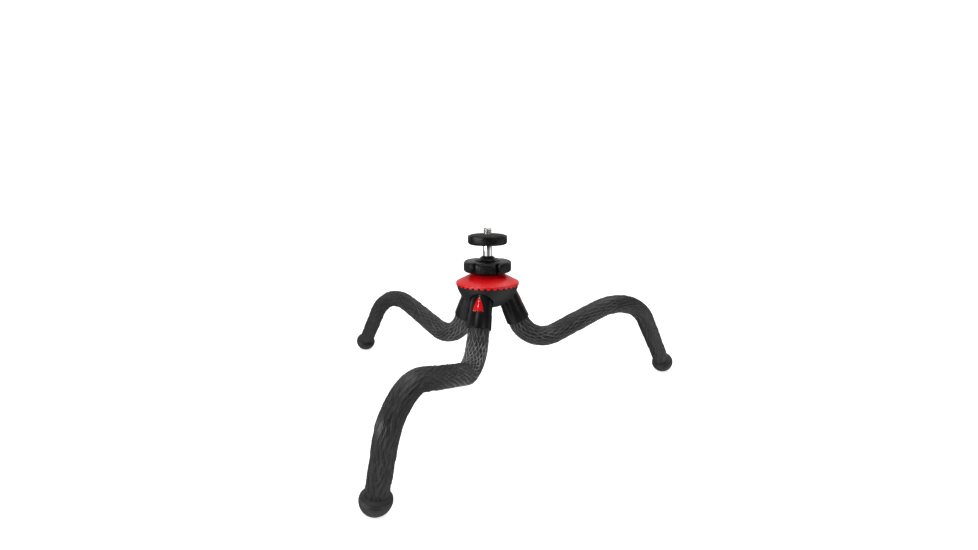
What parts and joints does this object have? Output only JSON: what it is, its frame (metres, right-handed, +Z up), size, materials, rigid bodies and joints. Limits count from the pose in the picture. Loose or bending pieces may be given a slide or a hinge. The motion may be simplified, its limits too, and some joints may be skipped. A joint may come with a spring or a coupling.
{
  "type": "flexible leg tripod",
  "caption": "Small camera tripod with a lockable ball head, a red hub cover and bendable legs in scaly black rubber that end in domed feet.",
  "frame": {"origin": "centre of the platform pad, at the root of the camera screw", "axes": "+Z up along the camera screw, -Y towards the front leg"},
  "size_m": [0.3048, 0.2769, 0.1355],
  "materials": {
    "platform_metal": "black anodised, satin",
    "pad_rubber": "matt black rubber",
    "screw_steel": "zinc-plated steel",
    "stem_chrome": "polished chrome",
    "ball_plastic": "black, semi-gloss",
    "nylon": "natural nylon",
    "knob_plastic": "black, fine-textured",
    "neck_plastic": "black",
    "cover_red": "bright red, satin gloss",
    "hub_plastic": "charcoal grey, fine-textured",
    "collar_plastic": "black, glossy",
    "inlay_red": "red, glossy",
    "skin_rubber": "black rubber, embossed with scales",
    "foot_rubber": "black rubber, smooth",
    "core_metal": "bare metal"
  },
  "bodies": {
    "hub": {"hub_body": "hub_plastic", "hub_neck": "neck_plastic", "cover": "cover_red", "hub_screw": "screw_steel", "leg_screws": "screw_steel", "front_collar": "collar_plastic", "front_inlay": "inlay_red", "front_skin": "skin_rubber", "front_core_0": "core_metal", "right_collar": "collar_plastic", "right_inlay": "inlay_red", "right_skin": "skin_rubber", "right_core_0": "core_metal", "left_collar": "collar_plastic", "left_inlay": "inlay_red", "left_skin": "skin_rubber", "left_core_0": "core_metal"},
    "ball_cup": {"ball_seat": "nylon"},
    "ball": {"ball": "ball_plastic", "stem": "stem_chrome"},
    "platform": {"platform": "platform_metal", "platform_pad": "pad_rubber", "camera_screw": "screw_steel"},
    "lock_knob": {"lock_knob": "knob_plastic"},
    "front_leg_1": {"front_core_1": "core_metal"},
    "front_leg_2": {"front_core_2": "core_metal"},
    "front_leg_3": {"front_core_3": "core_metal"},
    "front_leg_4": {"front_core_4": "core_metal", "front_foot": "foot_rubber"},
    "right_leg_1": {"right_core_1": "core_metal"},
    "right_leg_2": {"right_core_2": "core_metal"},
    "right_leg_3": {"right_core_3": "core_metal"},
    "right_leg_4": {"right_core_4": "core_metal", "right_foot": "foot_rubber"},
    "left_leg_1": {"left_core_1": "core_metal"},
    "left_leg_2": {"left_core_2": "core_metal"},
    "left_leg_3": {"left_core_3": "core_metal"},
    "left_leg_4": {"left_core_4": "core_metal", "left_foot": "foot_rubber"}
  },
  "joints": [
    {"name": "head_pan", "type": "hinge", "parent": "hub", "child": "ball_cup", "pos_m": [0, 0, -0.0227], "axis": [0, 0, 1], "continuous": true},
    {"name": "head_tilt", "type": "hinge", "parent": "ball_cup", "child": "ball", "pos_m": [0, 0, -0.0227], "axis": [1, 0, 0], "range_deg": [-30, 30]},
    {"name": "plate_spin", "type": "hinge", "parent": "ball", "child": "platform", "pos_m": [0, 0, 0], "axis": [0, 0, 1], "continuous": true},
    {"name": "lock_knob_turn", "type": "hinge", "parent": "hub", "child": "lock_knob", "pos_m": [0, 0, -0.0227], "axis": [0, 0, 1], "range_deg": [0, 180]},
    {"name": "front_bend_1", "type": "hinge", "parent": "hub", "child": "front_leg_1", "pos_m": [-0.0003, -0.03967, -0.08638], "axis": [-0.9986, 0.0478, -0.0213], "range_deg": [-85, 30], "deforming": ["front_skin"]},
    {"name": "front_sway_1", "type": "hinge", "parent": "front_leg_1", "child": "front_leg_2", "pos_m": [-0.00284, -0.08853, -0.077], "axis": [-0.006, 0.3004, 0.9538], "range_deg": [-45, 45], "deforming": ["front_skin"]},
    {"name": "front_bend_2", "type": "hinge", "parent": "front_leg_2", "child": "front_leg_3", "pos_m": [-0.0077, -0.14209, -0.06989], "axis": [0.9744, -0.1142, -0.1938], "range_deg": [-85, 30], "deforming": ["front_skin"]},
    {"name": "front_sway_2", "type": "hinge", "parent": "front_leg_3", "child": "front_leg_4", "pos_m": [-0.01578, -0.15123, -0.10512], "axis": [0.1137, 0.9934, -0.0135], "range_deg": [-45, 45], "deforming": ["front_skin"]},
    {"name": "right_bend_1", "type": "hinge", "parent": "hub", "child": "right_leg_1", "pos_m": [0.03262, 0.0187, -0.07895], "axis": [0.4861, -0.8739, -0.0071], "range_deg": [-85, 30], "deforming": ["right_skin"]},
    {"name": "right_sway_1", "type": "hinge", "parent": "right_leg_1", "child": "right_leg_2", "pos_m": [0.06301, 0.03554, -0.07052], "axis": [-0.3612, -0.2083, 0.9089], "range_deg": [-45, 45], "deforming": ["right_skin"]},
    {"name": "right_bend_2", "type": "hinge", "parent": "right_leg_2", "child": "right_leg_3", "pos_m": [0.10071, 0.05989, -0.06023], "axis": [-0.5739, 0.7667, 0.2876], "range_deg": [-85, 30], "deforming": ["right_skin"]},
    {"name": "right_sway_2", "type": "hinge", "parent": "right_leg_3", "child": "right_leg_4", "pos_m": [0.12485, 0.09247, -0.09892], "axis": [-0.7611, -0.3698, -0.5329], "range_deg": [-45, 45], "deforming": ["right_skin"]},
    {"name": "left_bend_1", "type": "hinge", "parent": "hub", "child": "left_leg_1", "pos_m": [-0.03423, 0.02014, -0.08191], "axis": [0.534, 0.8453, -0.0177], "range_deg": [-85, 30], "deforming": ["left_skin"]},
    {"name": "left_sway_1", "type": "hinge", "parent": "left_leg_1", "child": "left_leg_2", "pos_m": [-0.06972, 0.04267, -0.07682], "axis": [0.2591, -0.1436, 0.9551], "range_deg": [-45, 45], "deforming": ["left_skin"]},
    {"name": "left_bend_2", "type": "hinge", "parent": "left_leg_2", "child": "left_leg_3", "pos_m": [-0.11277, 0.0701, -0.07081], "axis": [-0.5363, -0.844, 0.0094], "range_deg": [-85, 30], "deforming": ["left_skin"]},
    {"name": "left_sway_2", "type": "hinge", "parent": "left_leg_3", "child": "left_leg_4", "pos_m": [-0.14324, 0.08907, -0.10545], "axis": [0.6868, -0.4428, -0.5764], "range_deg": [-45, 45], "deforming": ["left_skin"]}
  ]
}
